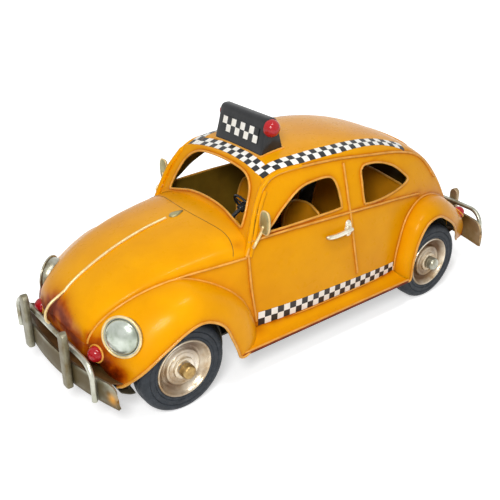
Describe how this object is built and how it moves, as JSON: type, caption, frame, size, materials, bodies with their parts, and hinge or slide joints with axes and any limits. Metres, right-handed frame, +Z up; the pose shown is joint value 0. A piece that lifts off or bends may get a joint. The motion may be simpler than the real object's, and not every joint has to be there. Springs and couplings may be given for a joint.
{
  "type": "toy taxi",
  "caption": "Rounded tin-plate toy taxi with open windows, wire-edged fenders, blade bumpers with bows, a roof sign, free-rolling wheels and a turning steering wheel.",
  "frame": {"origin": "on the ground under the middle of the car's length and width", "axes": "+X forward, +Y to the car's left side, +Z up"},
  "size_m": [0.32, 0.1276, 0.139],
  "materials": {
    "yellow_paint": "gloss, antiqued in the seams",
    "wire_paint": "gloss, worn",
    "inner_tin": "satin",
    "bare_tin": "satin",
    "pewter": "aged satin",
    "wheel_metal": "aged satin",
    "dark_steel": "satin",
    "tyre": "matt",
    "lamp_red": "gloss",
    "lens_metal": "satin",
    "sign_black": "gloss",
    "black_paint": "gloss"
  },
  "bodies": {
    "car": {"floor_pan": "bare_tin", "bonnet": "yellow_paint", "windscreen_frame": "yellow_paint", "roof_panel": "yellow_paint", "tail_panel": "yellow_paint", "side_panel_left": "yellow_paint", "side_panel_right": "yellow_paint", "front_apron": "yellow_paint", "rear_apron": "yellow_paint", "front_fender_left": "yellow_paint", "front_fender_right": "yellow_paint", "rear_fender_left": "yellow_paint", "rear_fender_right": "yellow_paint", "running_board_left": "yellow_paint", "running_board_right": "yellow_paint", "engine_lid": "yellow_paint", "windscreen_bead": "wire_paint", "side_beads_left": "wire_paint", "side_beads_right": "wire_paint", "rear_window_bead": "wire_paint", "front_axle": "dark_steel", "rear_axle": "dark_steel", "front_axle_bracket": "dark_steel", "rear_axle_bracket": "dark_steel", "hub_cap_front_left": "pewter", "hub_cap_front_right": "pewter", "hub_cap_rear_left": "pewter", "hub_cap_rear_right": "pewter", "dashboard": "inner_tin", "steering_column": "black_paint", "front_seat_left": "inner_tin", "front_seat_right": "inner_tin", "rear_bench": "inner_tin", "headlight_shells": "pewter", "headlight_lenses": "lens_metal", "marker_lamps": "lamp_red", "tail_lamps": "lamp_red", "bonnet_strip": "pewter", "bonnet_badge": "pewter", "front_bumper_blade": "pewter", "front_bumper_guards": "pewter", "front_bumper_bow": "pewter", "front_bumper_irons": "dark_steel", "rear_bumper_blade": "pewter", "rear_bumper_guards": "pewter", "rear_bumper_bow": "pewter", "rear_bumper_irons": "dark_steel", "mirrors": "pewter", "door_handles": "pewter", "sign_box": "sign_black", "sign_lamps": "lamp_red"},
    "wheel_front_left": {"wheel_disc_front_left": "wheel_metal", "tyre_front_left": "tyre"},
    "wheel_front_right": {"wheel_disc_front_right": "wheel_metal", "tyre_front_right": "tyre"},
    "wheel_rear_left": {"wheel_disc_rear_left": "wheel_metal", "tyre_rear_left": "tyre"},
    "wheel_rear_right": {"wheel_disc_rear_right": "wheel_metal", "tyre_rear_right": "tyre"},
    "steering": {"steering_wheel": "black_paint"}
  },
  "joints": [
    {"name": "wheel_front_left_spin", "type": "hinge", "parent": "car", "child": "wheel_front_left", "pos_m": [0.106, 0.051, 0.0264], "axis": [0, 1, 0], "continuous": true},
    {"name": "wheel_front_right_spin", "type": "hinge", "parent": "car", "child": "wheel_front_right", "pos_m": [0.106, -0.051, 0.0264], "axis": [0, 1, 0], "continuous": true},
    {"name": "wheel_rear_left_spin", "type": "hinge", "parent": "car", "child": "wheel_rear_left", "pos_m": [-0.093, 0.051, 0.0264], "axis": [0, 1, 0], "continuous": true},
    {"name": "wheel_rear_right_spin", "type": "hinge", "parent": "car", "child": "wheel_rear_right", "pos_m": [-0.093, -0.051, 0.0264], "axis": [0, 1, 0], "continuous": true},
    {"name": "steering_turn", "type": "hinge", "parent": "car", "child": "steering", "pos_m": [0.03436, 0.0159, 0.08784], "axis": [-0.866, 0, 0.5], "continuous": true}
  ]
}
